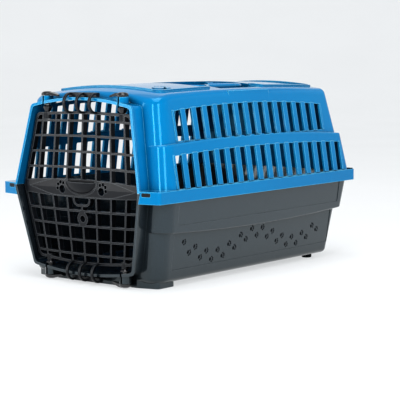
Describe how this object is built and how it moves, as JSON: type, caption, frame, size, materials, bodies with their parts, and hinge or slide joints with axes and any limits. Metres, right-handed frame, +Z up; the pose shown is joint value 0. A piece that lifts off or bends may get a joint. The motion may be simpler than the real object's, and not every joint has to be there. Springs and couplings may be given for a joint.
{
  "type": "pet transport carrier",
  "caption": "Small-animal transport carrier: vented two-part plastic shell, hinged grille door with sprung catches, corner pins and a folding top handle.",
  "frame": {"origin": "on the ground, at the middle of the length and width", "axes": "+Z up, the door faces -Y, +X is to the right when looking at the carrier along +Y, through the door"},
  "size_m": [0.318, 0.49, 0.2914],
  "materials": {
    "blue_shell": "glossy moulded polypropylene",
    "grey_base": "satin moulded polypropylene",
    "door_plastic": "satin moulded plastic",
    "black_pin": "glossy moulded nylon",
    "steel_pin": "drawn wire",
    "lock_black": "moulded nylon",
    "foot_grey": "matt moulded plastic"
  },
  "bodies": {
    "carrier": {"base_shell": "grey_base", "top_shell": "blue_shell", "shell_lock_front_left": "lock_black", "shell_lock_rear_left": "lock_black", "shell_lock_front_right": "lock_black", "shell_lock_rear_right": "lock_black", "foot_front_left": "foot_grey", "foot_front_right": "foot_grey", "foot_rear_left": "foot_grey", "foot_rear_right": "foot_grey", "handle_pin_front": "steel_pin", "handle_pin_rear": "steel_pin"},
    "door": {"door_grille": "door_plastic", "top_spring_left": "door_plastic", "top_spring_middle": "door_plastic", "top_spring_right": "door_plastic", "bottom_spring_left": "door_plastic", "bottom_spring_middle": "door_plastic", "bottom_spring_right": "door_plastic"},
    "top_catch": {"top_catch_bar": "door_plastic"},
    "bottom_catch": {"bottom_catch_bar": "door_plastic"},
    "handle": {"carry_handle": "blue_shell"},
    "pin_top_left": {"corner_pin_top_left": "black_pin"},
    "pin_top_right": {"corner_pin_top_right": "black_pin"},
    "pin_bottom_left": {"corner_pin_bottom_left": "black_pin"},
    "pin_bottom_right": {"corner_pin_bottom_right": "black_pin"}
  },
  "joints": [
    {"name": "door_swing", "type": "hinge", "parent": "carrier", "child": "door", "pos_m": [-0.0765, -0.222, 0.141], "axis": [0, 0, -1], "range_deg": [0, 110]},
    {"name": "top_catch_lift", "type": "slide", "parent": "door", "child": "top_catch", "axis": [0, 0, 1], "range_m": [0, 0.004], "stiffness_N_per_m": 1500, "deforming": ["top_spring_left", "top_spring_middle", "top_spring_right"]},
    {"name": "bottom_catch_drop", "type": "slide", "parent": "door", "child": "bottom_catch", "axis": [0, 0, -1], "range_m": [0, 0.003], "stiffness_N_per_m": 1500, "deforming": ["bottom_spring_left", "bottom_spring_middle", "bottom_spring_right"]},
    {"name": "handle_fold", "type": "hinge", "parent": "carrier", "child": "handle", "pos_m": [0, 0.004, 0.2842], "axis": [0, -1, 0], "range_deg": [0, 90]},
    {"name": "pin_turn_top_left", "type": "hinge", "parent": "door", "child": "pin_top_left", "pos_m": [-0.0765, -0.222, 0.27], "axis": [0, 0, -1], "range_deg": [0, 90]},
    {"name": "pin_turn_top_right", "type": "hinge", "parent": "door", "child": "pin_top_right", "pos_m": [0.0765, -0.222, 0.27], "axis": [0, 0, 1], "range_deg": [0, 90]},
    {"name": "pin_turn_bottom_left", "type": "hinge", "parent": "door", "child": "pin_bottom_left", "pos_m": [-0.0765, -0.222, 0.015], "axis": [0, 0, -1], "range_deg": [0, 90]},
    {"name": "pin_turn_bottom_right", "type": "hinge", "parent": "door", "child": "pin_bottom_right", "pos_m": [0.0765, -0.222, 0.015], "axis": [0, 0, 1], "range_deg": [0, 90]}
  ]
}
